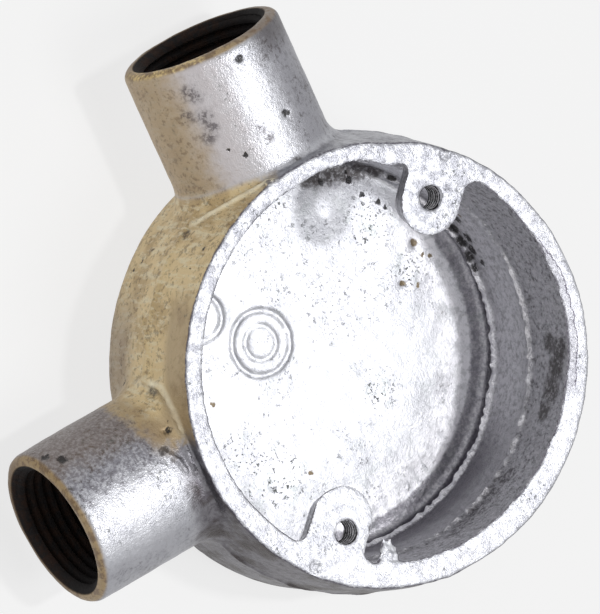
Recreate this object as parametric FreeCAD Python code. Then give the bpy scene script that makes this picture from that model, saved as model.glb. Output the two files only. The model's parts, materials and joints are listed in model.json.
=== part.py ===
import FreeCAD, Part
import math
import os

"""Two-way conduit angle box: one malleable iron casting.

A shallow round box, open at the front, with two tapped spouts at a right angle for 20 mm screwed conduit.
Millimetres. The origin is the centre of the flat back face, +Z points out of the open face, and the spouts
point along +X and +Y. The box lies on its back face.
"""

# Screws that hold the lid, drilled a little round from the middle between the spouts
SCREW_CENTRES = 50.8
SCREW_HOLE_RADIUS = 1.65
SCREW_COUNTERSINK = 0.25
SCREW_TURN = 2.3

# Round body, drafted both ways from the height where the mould halves meet
RIM_PAST_SCREW = 7.7
DEPTH = 27.0
PARTING_HEIGHT = 15.3
UPPER_DRAFT = 1.0
LOWER_DRAFT = 0.3
BACK_EDGE_ROUND = 4.0
RIM_EDGE_ROUND = 0.3

# Cavity, left by a core in two halves that meet in a small step at the parting height. The core sat a little
# towards the +X spout, so the wall is thinner there, and the tongues moved with it but not their holes.
CORE_SHIFT = 0.7
RIM_WIDTH = 3.1
FLOOR_THICKNESS = 3.3
CORE_STEP = 0.3
UPPER_CORE_DRAFT = 0.2
LOWER_CORE_DRAFT = 0.4
FLOOR_CORNER_ROUND = 1.5

# Spouts
SPOUT_RADIUS = 12.25
SPOUT_HEIGHT = 12.5
SPOUT_MOUTH_ROUND = 1.4
SPOUT_ROOT_ROUND = 4.5
SPOUT_ANGLES = (0, 90)

# Spout bores: M20 x 1.5 thread down to a stop shoulder, then a smooth entry with a rounded inner end
THREAD_BORE_RADIUS = 9.2
THREAD_LENGTH = 17.0
ENTRY_LENGTH = 6.4
MOUTH_COUNTERSINK = 1.3
ENTRY_RADIUS = 8.2
ENTRY_ROUND = 0.8

# Tongues that carry the lid screws, tapered downwards and turned a little in the mould against the spouts
TONGUE_WIDTH = 9.8
TONGUE_REACH = 6.0
TONGUE_THICKNESS = 4.4
TONGUE_TAPER = 1.3
TONGUE_ROOT_ROUND = 1.8
TONGUE_TURN = 0.9
TONGUE_ANGLES = (135, 315)

# How far a cutting solid runs past the metal, and the side, away from the spouts, where turned faces begin
OVERRUN = 1.5
SEAM_ANGLE = 225

RIM_RADIUS = SCREW_CENTRES / 2 + RIM_PAST_SCREW
PARTING_RADIUS = RIM_RADIUS + UPPER_DRAFT
BACK_RADIUS = PARTING_RADIUS - LOWER_DRAFT
CAVITY_RIM_RADIUS = RIM_RADIUS - RIM_WIDTH
UPPER_CORE_RADIUS = CAVITY_RIM_RADIUS - UPPER_CORE_DRAFT
FLOOR_RADIUS = UPPER_CORE_RADIUS - LOWER_CORE_DRAFT
SHOULDER_REACH = UPPER_CORE_RADIUS + ENTRY_LENGTH
SPOUT_REACH = SHOULDER_REACH + THREAD_LENGTH

ORIGIN = FreeCAD.Vector(0, 0, 0)
UP = FreeCAD.Vector(0, 0, 1)
OUTWARD = FreeCAD.Vector(1, 0, 0)


def in_plan(x, y):
    """Point of an outline seen from above."""
    return FreeCAD.Vector(x, y, 0)


def polar(radius, angle):
    """Point seen from above, at a radius and an angle in degrees."""
    return in_plan(radius * math.cos(math.radians(angle)), radius * math.sin(math.radians(angle)))


def flat(x, z):
    """Point of an outline that is drawn in the XZ plane and then turned about X or Z."""
    return FreeCAD.Vector(x, 0, z)


def straight(start, end):
    """Straight edge between two points."""
    return Part.LineSegment(start, end).toShape()


def arc(start, middle, end):
    """Arc edge through three points."""
    return Part.Arc(start, middle, end).toShape()


def chain(points):
    """Straight edges through a list of points, in order."""
    return [straight(start, end) for start, end in zip(points, points[1:])]


def corner_arc(corner, radius, towards_x, towards_z):
    """Arc that rounds a square corner in the XZ plane; the signs say on which side its centre lies."""
    centre = corner + FreeCAD.Vector(towards_x * radius, 0, towards_z * radius)
    start = centre - FreeCAD.Vector(towards_x * radius, 0, 0)
    end = centre - FreeCAD.Vector(0, 0, towards_z * radius)
    diagonal = FreeCAD.Vector(towards_x, 0, towards_z).normalize()
    return arc(start, centre - diagonal * radius, end)


def outlined(edges):
    """Flat face inside a closed outline, given as edges in any order."""
    return Part.Face(Part.Wire(Part.__sortEdges__(edges)))


def lathe(edges, axis):
    """Full turn of a closed outline about an axis through the origin."""
    return outlined(edges).revolve(ORIGIN, axis, 360)


def turned(shape, angle):
    """Copy of a shape turned about the box's upright axis."""
    copy = shape.copy()
    copy.rotate(ORIGIN, UP, angle)
    return copy


def raised(shape, height):
    """Copy of a shape lifted along +Z."""
    copy = shape.copy()
    copy.translate(UP * height)
    return copy


def edges_at_height(shape, height):
    """Edges that lie flat at a height."""
    return [edge for edge in shape.Edges if max(abs(vertex.Z - height) for vertex in edge.Vertexes) < 0.01]


def drum():
    """Outside of the round body: a drafted turning with rounded back and rim edges."""
    outline = chain(
        [
            ORIGIN,
            flat(BACK_RADIUS, 0),
            flat(PARTING_RADIUS, PARTING_HEIGHT),
            flat(RIM_RADIUS, DEPTH),
            flat(0, DEPTH),
            ORIGIN,
        ]
    )
    body = lathe(outline, UP)
    body = body.makeFillet(BACK_EDGE_ROUND, edges_at_height(body, 0))
    return body.makeFillet(RIM_EDGE_ROUND, edges_at_height(body, DEPTH))


def spout():
    """Unbored spout along +X, flared where it meets the drum and rounded at its mouth.

    The flare's arc touches both the spout's side and the drum's wall, seen from above.
    """
    flare_radius = SPOUT_RADIUS + SPOUT_ROOT_ROUND
    flare_start = math.sqrt((PARTING_RADIUS + SPOUT_ROOT_ROUND) ** 2 - flare_radius**2)
    centre = flat(flare_start, flare_radius)
    touches_drum = centre * (PARTING_RADIUS / centre.Length)
    half_turn = math.atan2(centre.x - touches_drum.x, centre.z - touches_drum.z) / 2
    halfway = centre - flat(math.sin(half_turn), math.cos(half_turn)) * SPOUT_ROOT_ROUND
    mouth_corner = flat(SPOUT_REACH, SPOUT_RADIUS)
    edges = [
        straight(ORIGIN, flat(0, touches_drum.z)),
        straight(flat(0, touches_drum.z), touches_drum),
        arc(touches_drum, halfway, flat(flare_start, SPOUT_RADIUS)),
        straight(flat(flare_start, SPOUT_RADIUS), mouth_corner - flat(SPOUT_MOUTH_ROUND, 0)),
        corner_arc(mouth_corner, SPOUT_MOUTH_ROUND, -1, -1),
        straight(mouth_corner - flat(0, SPOUT_MOUTH_ROUND), flat(SPOUT_REACH, 0)),
        straight(flat(SPOUT_REACH, 0), ORIGIN),
    ]
    return raised(lathe(edges, OUTWARD), SPOUT_HEIGHT)


def spout_bore(inner_end):
    """What is bored out of a spout along +X: countersink, tapped length, stop shoulder and rounded entry.

    inner_end is how far the cavity's wall stands from the box's axis along this spout.
    """
    start = inner_end - 2 * OVERRUN
    past_mouth = MOUTH_COUNTERSINK + OVERRUN
    edges = chain(
        [
            flat(inner_end, ENTRY_RADIUS + ENTRY_ROUND),
            flat(start, ENTRY_RADIUS + ENTRY_ROUND),
            flat(start, 0),
            flat(SPOUT_REACH + OVERRUN, 0),
            flat(SPOUT_REACH + OVERRUN, THREAD_BORE_RADIUS + past_mouth),
            flat(SPOUT_REACH - MOUTH_COUNTERSINK, THREAD_BORE_RADIUS),
            flat(SHOULDER_REACH, THREAD_BORE_RADIUS),
            flat(SHOULDER_REACH, ENTRY_RADIUS),
            flat(inner_end + ENTRY_ROUND, ENTRY_RADIUS),
        ]
    )
    edges.append(corner_arc(flat(inner_end, ENTRY_RADIUS), ENTRY_ROUND, 1, 1))
    return raised(lathe(edges, OUTWARD), SPOUT_HEIGHT)


def cavity():
    """The space inside the box: two drafted halves, a step between them and a rounded corner at the floor."""
    edges = chain(
        [
            flat(FLOOR_RADIUS, FLOOR_THICKNESS + FLOOR_CORNER_ROUND),
            flat(UPPER_CORE_RADIUS - CORE_STEP, PARTING_HEIGHT),
            flat(UPPER_CORE_RADIUS, PARTING_HEIGHT + CORE_STEP),
            flat(CAVITY_RIM_RADIUS, DEPTH),
            flat(CAVITY_RIM_RADIUS, DEPTH + OVERRUN),
            flat(0, DEPTH + OVERRUN),
            flat(0, FLOOR_THICKNESS),
            flat(FLOOR_RADIUS - FLOOR_CORNER_ROUND, FLOOR_THICKNESS),
        ]
    )
    edges.append(corner_arc(flat(FLOOR_RADIUS, FLOOR_THICKNESS), FLOOR_CORNER_ROUND, -1, 1))
    return lathe(edges, UP)


def tongue_outline(inset, height):
    """Outline of the tongue along +X at a height: round tip, and root fillets that run into the cavity's wall.

    inset is how far the sides stand in from the tongue's full width.
    """
    half = TONGUE_WIDTH / 2
    tip_centre = SCREW_CENTRES / 2 - TONGUE_REACH + half
    fillet_side = half + TONGUE_ROOT_ROUND
    fillet_along = math.sqrt((CAVITY_RIM_RADIUS - TONGUE_ROOT_ROUND) ** 2 - fillet_side**2)
    wall_angle = math.degrees(math.atan2(fillet_side, fillet_along))
    buried_radius = CAVITY_RIM_RADIUS + (TONGUE_TAPER + RIM_WIDTH - CORE_SHIFT) / 2
    narrowed = half - inset

    edges = [
        arc(in_plan(tip_centre, narrowed), in_plan(tip_centre - narrowed, 0), in_plan(tip_centre, -narrowed)),
        arc(polar(buried_radius, wall_angle), polar(buried_radius, 0), polar(buried_radius, -wall_angle)),
    ]
    for side in (1, -1):
        foot = in_plan(fillet_along, side * narrowed)
        fillet_centre = in_plan(fillet_along, side * fillet_side)
        halfway = fillet_centre + polar(TONGUE_ROOT_ROUND + inset, side * (wall_angle - 90) / 2)
        on_wall = polar(CAVITY_RIM_RADIUS + inset, side * wall_angle)
        edges.append(straight(in_plan(tip_centre, side * narrowed), foot))
        edges.append(arc(foot, halfway, on_wall))
        edges.append(straight(on_wall, polar(buried_radius, side * wall_angle)))
    return raised(Part.Wire(Part.__sortEdges__(edges)), height)


def tongue():
    """Tongue along +X, flush with the rim and tapered downwards."""
    underside = DEPTH - TONGUE_THICKNESS
    return Part.makeLoft([tongue_outline(TONGUE_TAPER, underside), tongue_outline(0, DEPTH)], True, True)


def screw_hole():
    """Tapped hole through a tongue on +X, with a small countersink at the rim's face."""
    edges = chain(
        [
            flat(0, DEPTH - TONGUE_THICKNESS - OVERRUN),
            flat(SCREW_HOLE_RADIUS, DEPTH - TONGUE_THICKNESS - OVERRUN),
            flat(SCREW_HOLE_RADIUS, DEPTH - SCREW_COUNTERSINK),
            flat(SCREW_HOLE_RADIUS + SCREW_COUNTERSINK + OVERRUN, DEPTH + OVERRUN),
            flat(0, DEPTH + OVERRUN),
            flat(0, DEPTH - TONGUE_THICKNESS - OVERRUN),
        ]
    )
    tool = lathe(edges, UP)
    tool.translate(OUTWARD * (SCREW_CENTRES / 2))
    return tool


def shifted_with_core(shape):
    """Copy of a shape moved as far as the core sat off centre."""
    copy = shape.copy()
    copy.translate(OUTWARD * CORE_SHIFT)
    return copy


def between_faces(shape):
    """The part of a shape between the planes of the back face and the rim."""
    reach = 2 * SPOUT_REACH
    slab = Part.makeBox(2 * reach, 2 * reach, DEPTH, FreeCAD.Vector(-reach, -reach, 0))
    return shape.common(slab)


def casting():
    """The finished casting."""
    spouts = [between_faces(turned(spout(), angle)) for angle in SPOUT_ANGLES]
    body = turned(drum(), SEAM_ANGLE).fuse(spouts)
    body = body.cut(shifted_with_core(turned(cavity(), SEAM_ANGLE)))
    body = body.fuse([shifted_with_core(turned(tongue(), angle + TONGUE_TURN)) for angle in TONGUE_ANGLES])
    holes = [turned(screw_hole(), angle + SCREW_TURN) for angle in TONGUE_ANGLES]
    for angle in SPOUT_ANGLES:
        wall = UPPER_CORE_RADIUS + CORE_SHIFT * math.cos(math.radians(angle))
        holes.append(turned(spout_bore(wall), angle))
    return body.cut(holes).removeSplitter()


def main():
    """Write the casting's STEP file."""
    os.makedirs("parts", exist_ok=True)
    casting().exportStep("parts/box_casting.step")


main()
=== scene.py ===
"""Looks of a two-way conduit angle box: one malleable iron casting, hot-dip galvanised.

The box lies on its back with the open face up, and its two tapped spouts point along +X and +Y.
Shapes are worked in millimetres in the row frame and turned into metres when a piece is finished.
"""

import json
import logging
import math
from abc import ABC, abstractmethod
from collections.abc import Iterable, Sequence
from dataclasses import dataclass, field
from enum import Enum

import bmesh
import bpy
from mathutils import Matrix, Vector, noise


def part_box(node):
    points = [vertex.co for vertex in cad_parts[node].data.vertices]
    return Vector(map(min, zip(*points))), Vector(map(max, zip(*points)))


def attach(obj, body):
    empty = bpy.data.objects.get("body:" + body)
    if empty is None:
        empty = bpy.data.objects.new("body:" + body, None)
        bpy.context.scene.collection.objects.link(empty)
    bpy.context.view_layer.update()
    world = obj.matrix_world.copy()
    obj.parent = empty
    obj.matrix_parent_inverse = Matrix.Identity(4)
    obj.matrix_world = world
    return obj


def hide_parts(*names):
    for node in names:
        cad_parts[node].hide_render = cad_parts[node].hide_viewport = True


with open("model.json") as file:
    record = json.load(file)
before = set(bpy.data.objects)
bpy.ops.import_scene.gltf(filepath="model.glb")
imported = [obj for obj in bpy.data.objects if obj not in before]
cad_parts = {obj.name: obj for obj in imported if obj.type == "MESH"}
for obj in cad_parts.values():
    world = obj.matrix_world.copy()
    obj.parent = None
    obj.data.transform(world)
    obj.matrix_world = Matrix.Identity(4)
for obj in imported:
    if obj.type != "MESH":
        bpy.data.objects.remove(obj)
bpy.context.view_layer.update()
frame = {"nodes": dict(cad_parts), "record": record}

log = logging.getLogger("angle_box")

MM = 0.001
NODE = "box_casting"
BODY = "root"
NOISE_SEED = 11  # without one, the waves of the skin would follow the clock

Colour = tuple[float, float, float, float]
Number = "float | Scalar"


def display_colour(red: int, green: int, blue: int) -> Colour:
    """Linear colour of a shade that is given as it looks on a display.

    Args:
        red: Red, from 0 to 255.
        green: Green, from 0 to 255.
        blue: Blue, from 0 to 255.

    Returns:
        The linear colour with full alpha.
    """
    shares = [channel / 255 for channel in (red, green, blue)]
    linear = [s / 12.92 if s <= 0.04045 else ((s + 0.055) / 1.055) ** 2.4 for s in shares]
    return (linear[0], linear[1], linear[2], 1.0)


def share(value: float) -> float:
    """A number held between 0 and 1."""
    return min(1.0, max(0.0, value))


def bell(distance: float, width: float) -> float:
    """Height of a rounded hump of height one at a distance from its middle."""
    return math.exp(-((distance / width) ** 2))


def record_mount(name: str) -> dict:
    """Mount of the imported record, by name."""
    return next(mount for mount in frame["record"]["mounts"] if mount["name"] == name)


SPOUT_LEVEL = record_mount("spout_x_thread")["pos_m"][2] / MM  # height of the spouts' axes
CORE_CENTRE = (0.7, 0.0)  # where the cavity's axis stands, a little off the body's
SCREW_TURN = math.radians(137.3)  # where the first tongue stands round the box


class SpoutSide(Enum):
    """Which way a spout points, as its turn from +X in degrees."""

    ALONG_X = 0
    ALONG_Y = 90

    @property
    def turn(self) -> Matrix:
        """Matrix that turns a shape made along +X to this side."""
        return Matrix.Rotation(math.radians(self.value), 4, "Z")


# Shapes


def mesh_of(form: bmesh.types.BMesh, name: str) -> bpy.types.Mesh:
    """Turns a bmesh into a mesh, and frees it."""
    mesh = bpy.data.meshes.new(name)
    form.to_mesh(mesh)
    form.free()
    return mesh


def placed(name: str, data: bpy.types.ID) -> bpy.types.Object:
    """Puts a new object into the scene, at the origin."""
    made = bpy.data.objects.new(name, data)
    bpy.context.scene.collection.objects.link(made)
    return made


@dataclass
class Workpiece:
    """A mesh that is being made, in millimetres, as an object at the origin.

    Attributes:
        name: Name of the object.
        form: The mesh while it is worked with operators.
    """

    name: str
    form: bmesh.types.BMesh = field(default_factory=bmesh.new)

    def merge(self, other: bmesh.types.BMesh) -> None:
        """Adds another closed shape to this one, and frees it."""
        mesh = mesh_of(other, "part")
        self.form.from_mesh(mesh)
        bpy.data.meshes.remove(mesh)

    def with_modifiers(self, *settings: tuple[str, dict]) -> None:
        """Runs modifiers over the mesh, in order.

        Args:
            settings: Kind of modifier and its settings, for each one.
        """
        mesh = mesh_of(self.form, self.name)
        worked = placed(self.name, mesh)
        for kind, values in settings:
            modifier = worked.modifiers.new(kind, kind)
            for key, value in values.items():
                setattr(modifier, key, value)
        scene_graph = bpy.context.evaluated_depsgraph_get()
        result = bpy.data.meshes.new_from_object(worked.evaluated_get(scene_graph))
        self.form = bmesh.new()
        self.form.from_mesh(result)
        bpy.data.objects.remove(worked)
        bpy.data.meshes.remove(mesh)
        bpy.data.meshes.remove(result)

    def cut_with(self, tools: Iterable[bmesh.types.BMesh]) -> None:
        """Takes cutting tools out of the mesh, one after another.

        Args:
            tools: Closed shapes, which are freed.
        """
        for tool in tools:
            mesh = mesh_of(tool, "tool")
            cutter = placed("tool", mesh)
            self.with_modifiers(("BOOLEAN", {"operation": "DIFFERENCE", "solver": "MANIFOLD", "object": cutter}))
            bpy.data.objects.remove(cutter)
            bpy.data.meshes.remove(mesh)

    def finish(self, sharp_angle: float) -> bpy.types.Object:
        """Turns the mesh into a smooth-shaded object in metres.

        Args:
            sharp_angle: Angle in degrees past which an edge stays sharp.

        Returns:
            The object, at the origin.
        """
        bmesh.ops.scale(self.form, vec=(MM, MM, MM), verts=self.form.verts)
        mesh = mesh_of(self.form, self.name)
        mesh.shade_smooth()
        mesh.set_sharp_from_angle(angle=math.radians(sharp_angle))
        return placed(self.name, mesh)


def turned_solid(outline: Sequence[tuple[float, float]], steps: int) -> bmesh.types.BMesh:
    """Closed solid turned about +X.

    Args:
        outline: Points as distance along X and radius, from one end on the axis to the other.
        steps: Sides of the full turn.

    Returns:
        The solid.
    """
    form = bmesh.new()
    points = [form.verts.new((along, 0, radius)) for along, radius in outline]
    edges = [form.edges.new(pair) for pair in zip(points, points[1:])]
    bmesh.ops.spin(
        form,
        geom=points + edges,
        cent=(0, 0, 0),
        axis=(1, 0, 0),
        angle=math.tau,
        steps=steps,
        use_merge=True,
    )
    bmesh.ops.remove_doubles(form, verts=form.verts, dist=0.0005)
    bmesh.ops.recalc_face_normals(form, faces=form.faces)
    return form


def thread_groove(
    start: float, length: float, pitch: float, inner: float, outer: float, steps: int
) -> bmesh.types.BMesh:
    """Closed helical bar round +X, which cuts the groove of an inner screw thread.

    Args:
        start: Where the groove begins along X.
        length: How far it runs.
        pitch: Advance in a full turn.
        inner: Radius of the bar's inner side, which lies in the open bore.
        outer: Radius at the bottom of the groove.
        steps: Sides of a full turn.

    Returns:
        The bar.
    """
    bottom = pitch / 16
    top = bottom + (outer - inner) * math.tan(math.radians(30))
    section = [(-top, inner), (-bottom, outer), (bottom, outer), (top, inner)]
    form = bmesh.new()
    points = [form.verts.new((start + along, 0, radius)) for along, radius in section]
    edges = [form.edges.new((points[i], points[i - 1])) for i in range(len(points))]
    turns = length / pitch
    bmesh.ops.spin(
        form,
        geom=points + edges,
        cent=(0, 0, 0),
        axis=(1, 0, 0),
        dvec=(pitch / steps, 0, 0),
        angle=math.tau * turns,
        steps=round(turns * steps),
        use_merge=False,
    )
    bmesh.ops.holes_fill(form, edges=[edge for edge in form.edges if edge.is_boundary], sides=len(section))
    bmesh.ops.recalc_face_normals(form, faces=form.faces)
    return form


class Relief(ABC):
    """Something that stands out of the cast skin, or into it."""

    @abstractmethod
    def rise(self, at: Vector) -> float:
        """How many millimetres the skin stands out at a point, or in where negative."""


@dataclass(frozen=True)
class RingMark(Relief):
    """Raised or sunk line in a ring on a level face.

    Attributes:
        centre: Middle of the ring.
        radius: Radius at the middle of the line.
        width: Half width of the line.
        height: How far it stands out.
    """

    centre: tuple[float, float, float]
    radius: float
    width: float
    height: float

    def rise(self, at: Vector) -> float:
        """Rise of the line, a little uneven round the ring."""
        if abs(at.z - self.centre[2]) > 0.6:
            return 0.0
        off = abs(math.hypot(at.x - self.centre[0], at.y - self.centre[1]) - self.radius)
        if off > 2.5 * self.width:
            return 0.0
        return self.height * bell(off, self.width) * (0.9 + 0.35 * noise.noise(at * 0.8))


@dataclass(frozen=True)
class RoundBead(Relief):
    """Uneven bead that runs round the box, a little tilted against its back.

    Attributes:
        centre: Where its circle's middle lies, seen from above.
        radius: Radius of the circle.
        level: Height above the back face, halfway round.
        width: Half width of the bead.
        height: How far it stands out where it is even.
        unevenness: Share of the height that comes and goes along it.
        lump: Length of a lump.
        tilt: How much higher it runs on its high side.
        high_side: Where its high side is, in degrees.
    """

    centre: tuple[float, float]
    radius: float
    level: float
    width: float
    height: float
    unevenness: float
    lump: float
    tilt: float = 0.0
    high_side: float = 0.0

    def level_at(self, at: Vector) -> float:
        """Height of the bead's middle on the side of a point."""
        turn = math.atan2(at.y - self.centre[1], at.x - self.centre[0])
        return self.level + self.tilt * math.cos(turn - math.radians(self.high_side))

    def near(self, at: Vector) -> float:
        """Share of the bead's height at a point, from 0 to 1 and more on its lumps."""
        reach = 2.5 * self.width
        from_axis = math.hypot(at.x - self.centre[0], at.y - self.centre[1]) - self.radius
        if abs(from_axis) > reach or abs(at.z - self.level) > reach + self.tilt:
            return 0.0
        off = math.hypot(from_axis, at.z - self.level_at(at))
        if off > reach:
            return 0.0
        lumps = noise.noise(at / self.lump) + 0.6 * noise.noise(at / (3.1 * self.lump))
        return bell(off, self.width) * max(0.0, 1 + self.unevenness * lumps)

    def rise(self, at: Vector) -> float:
        """Rise of the bead with its lumps."""
        return self.height * self.near(at)


@dataclass(frozen=True)
class CoreStep(Relief):
    """Step between the two halves of the core, which runs tilted where the solid has it level.

    Attributes:
        line: Bead that runs along the tilted step.
        level: Height of the level step.
        size: How far the lower half stands in from the upper one.
        softness: Height over which it goes from one to the other.
    """

    line: RoundBead
    level: float
    size: float
    softness: float = 0.4

    def rise(self, at: Vector) -> float:
        """What moves the step from its level height to its tilted line."""
        from_axis = math.hypot(at.x - self.line.centre[0], at.y - self.line.centre[1])
        if abs(from_axis - self.line.radius) > 1.2 or abs(at.z - self.level) > self.line.tilt + 1.5:
            return 0.0
        above_line = share((at.z - self.line.level_at(at)) / self.softness + 0.5)
        above_level = share((at.z - self.level) / self.softness + 0.5)
        return self.size * (above_level - above_line)


@dataclass(frozen=True)
class Fin(Relief):
    """Rounded fin of metal along a line of points.

    Attributes:
        path: Points of the line.
        width: Half width of the fin.
        height: How far it stands out.
    """

    path: tuple[tuple[float, float, float], ...]
    width: float
    height: float

    def near(self, at: Vector) -> float:
        """Share of the fin's height at a point, from 0 to 1."""
        reach = 2.5 * self.width
        for part, coordinates in zip(at, zip(*self.path)):
            if not min(coordinates) - reach < part < max(coordinates) + reach:
                return 0.0
        nearest = reach
        for start, end in zip(self.path, self.path[1:]):
            a = Vector(start)
            run = Vector(end) - a
            along = share((at - a).dot(run) / run.length_squared)
            nearest = min(nearest, (at - a - run * along).length)
        return bell(nearest, self.width) if nearest < reach else 0.0

    def rise(self, at: Vector) -> float:
        """Rise of the fin, which comes and goes along its line."""
        near = self.near(at)
        return self.height * near * (1 + 0.7 * noise.noise(at * 0.9)) if near else 0.0


@dataclass(frozen=True)
class Dent(Relief):
    """Round dent, pit or nub.

    Attributes:
        place: Its middle.
        radius: Half width.
        height: How far it stands out, negative where it goes in.
    """

    place: tuple[float, float, float]
    radius: float
    height: float = -0.15

    def rise(self, at: Vector) -> float:
        """Rise or depth at a point."""
        reach = 2.2 * self.radius
        if abs(at.x - self.place[0]) > reach or abs(at.y - self.place[1]) > reach:
            return 0.0
        off = (at - Vector(self.place)).length
        return self.height * bell(off * (1 + 0.4 * noise.noise(at * 1.7)), self.radius) if off < reach else 0.0


@dataclass(frozen=True)
class Swell:
    """Place where the metal as a whole was pushed to one side.

    Attributes:
        place: Middle of the place.
        push: How far it moved, and where to.
        size: Half width of the place.
    """

    place: tuple[float, float, float]
    push: tuple[float, float, float]
    size: float

    def shift(self, at: Vector) -> Vector:
        """How far a point moved."""
        off = (at - Vector(self.place)).length
        return Vector(self.push) * bell(off, self.size) if off < 2.5 * self.size else Vector()


@dataclass
class BoxCasting:
    """The box: round body, two spouts and two screw tongues in one casting.

    Attributes:
        floor_level: Height of the floor's upper face above the back.
        parting_level: Height where the mould halves met.
        rim_level: Height of the rim.
        core_step: How far the core's lower half stands in from its upper one.
        bore_radius: Radius of a spout's bore.
        bore_start: Where the bores begin, from the body's axis.
        grain: Size of the faces that the cast skin is worked with.
        skin_faces: Most triangles of the cast skin before it is bored and tapped.
        sharp_angle: Angle in degrees past which an edge stays sharp.
        sunk: How far the rim's face lies below the box of the CAD node, so that its grain shows.
        waves: Wavelength and depth of the unevenness left by the sand mould, coarse to fine.
        edge_waves: The same for the rim's edges, seen from above.
        edge_level: Height at which the unevenness of the rim sets in.
        oval: How much longer the rim is across one way than it should be, each side.
        oval_side: Which way that is, in degrees.
        reliefs: Marks on the cast skin.
        swells: Places where the metal was pushed to one side.
    """

    floor_level: float = 3.3
    parting_level: float = 15.3
    rim_level: float = 27.0
    core_step: float = 0.3
    bore_radius: float = record_mount("spout_x_thread")["dims"]["r_mm"]
    bore_start: float = 30.6
    grain: float = 0.32
    skin_faces: int = 158000
    sharp_angle: float = 50.0
    sunk: float = 0.07
    waves: tuple[tuple[float, float], ...] = ((9.0, 0.1), (3.0, 0.05), (1.1, 0.026))
    edge_waves: tuple[tuple[float, float], ...] = ((4.0, 0.14), (1.7, 0.12))
    edge_level: float = 19.0
    oval: float = 0.3
    oval_side: float = 84.0
    reliefs: list[Relief] = field(default_factory=list)
    swells: list[Swell] = field(default_factory=list)

    def build(self) -> bpy.types.Object:
        """Makes the casting.

        Returns:
            The finished object, in metres.
        """
        work = Workpiece(NODE + "_skin")
        work.form.from_mesh(frame["nodes"][NODE].data)
        bmesh.ops.scale(work.form, vec=(1 / MM,) * 3, verts=work.form.verts)
        bmesh.ops.remove_doubles(work.form, verts=work.form.verts, dist=0.001)
        for lump in self.zinc_lump():
            work.merge(lump)
        work.with_modifiers(("REMESH", {"mode": "VOXEL", "voxel_size": self.grain}))
        log.info("skin has %d points", len(work.form.verts))
        bmesh.ops.smooth_vert(
            work.form, verts=work.form.verts, factor=0.4, use_axis_x=True, use_axis_y=True, use_axis_z=True
        )
        self.shape_skin(work.form)
        count = 2 * len(work.form.faces)
        work.with_modifiers(("DECIMATE", {"ratio": self.skin_faces / count}))
        work.cut_with(spout_taps() + screw_taps())
        return work.finish(self.sharp_angle)

    def zinc_lump(self) -> list[bmesh.types.BMesh]:
        """Crumbly drip of zinc that froze on the inner edge of the rim.

        Returns:
            Closed blobs that touch the rim and each other.
        """
        blobs = [
            ((-25.9, 14.2, 26.2), 0.6),
            ((-25.7, 13.4, 26.3), 0.75),
            ((-25.5, 12.4, 26.1), 0.95),
            ((-25.9, 11.6, 26.2), 0.75),
            ((-24.8, 13.4, 26.4), 0.5),
            ((-24.6, 12.5, 26.3), 0.65),
            ((-24.4, 11.7, 26.3), 0.5),
            ((-23.7, 12.5, 26.4), 0.5),
            ((-23.0, 12.2, 26.4), 0.4),
            ((-23.8, 11.5, 26.2), 0.45),
            ((-24.9, 11.0, 26.0), 0.5),
            ((-25.2, 14.1, 26.4), 0.42),
            ((-24.1, 13.2, 26.2), 0.4),
            ((-23.4, 11.2, 26.3), 0.36),
        ]
        forms = []
        for place, radius in blobs:
            form = bmesh.new()
            bmesh.ops.create_icosphere(form, subdivisions=2, radius=radius, matrix=Matrix.Translation(place))
            forms.append(form)
        return forms

    def in_bore(self, at: Vector) -> bool:
        """Whether a point lies on the wall of a spout's bore or beyond, and so isn't cast skin."""
        for along, across in ((at.x, at.y), (at.y, at.x)):
            if along > self.bore_start and math.hypot(across, at.z - SPOUT_LEVEL) < self.bore_radius + 0.6:
                return True
        return False

    def wander(self, at: Vector) -> Vector:
        """How far the sand mould's unevenness moved a point.

        Args:
            at: Point of the skin.

        Returns:
            The shift, which is larger and sideways near the rim.
        """
        shift = Vector()
        for length, depth in self.waves:
            shift += noise.noise_vector(at / length) * depth
        height = share((at.z - self.edge_level) / (self.rim_level - self.edge_level))
        if height > 0:
            shift.z *= 1 - 0.6 * height
            sideways = Vector()
            for length, depth in self.edge_waves:
                sideways += noise.noise_vector(at / length) * depth
            turn = math.atan2(at.y, at.x)
            stretch = self.oval * math.cos(2 * (turn - math.radians(self.oval_side)))
            sideways += Vector((at.x, at.y, 0)).normalized() * stretch
            shift += Vector((sideways.x, sideways.y, 0)) * height**2
        return shift

    def shape_skin(self, form: bmesh.types.BMesh) -> None:
        """Gives the cast skin its waves, beads, fins, marks and pits, inside the box of the CAD node.

        Args:
            form: The mesh, which is changed.
        """
        low, high = (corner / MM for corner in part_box(NODE))
        form.normal_update()
        moved = []
        for vert in form.verts:
            at = vert.co
            point = at.copy()
            if not self.in_bore(at):
                out = sum(relief.rise(at) for relief in self.reliefs)
                point += self.wander(at) + vert.normal * out
                for swell in self.swells:
                    point += swell.shift(at)
                if at.z > self.rim_level - 0.4:
                    point.z -= self.sunk
            moved.append(Vector(min(max(c, a), b) for c, a, b in zip(point, low, high)))
        for vert, point in zip(form.verts, moved):
            vert.co = point


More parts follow.
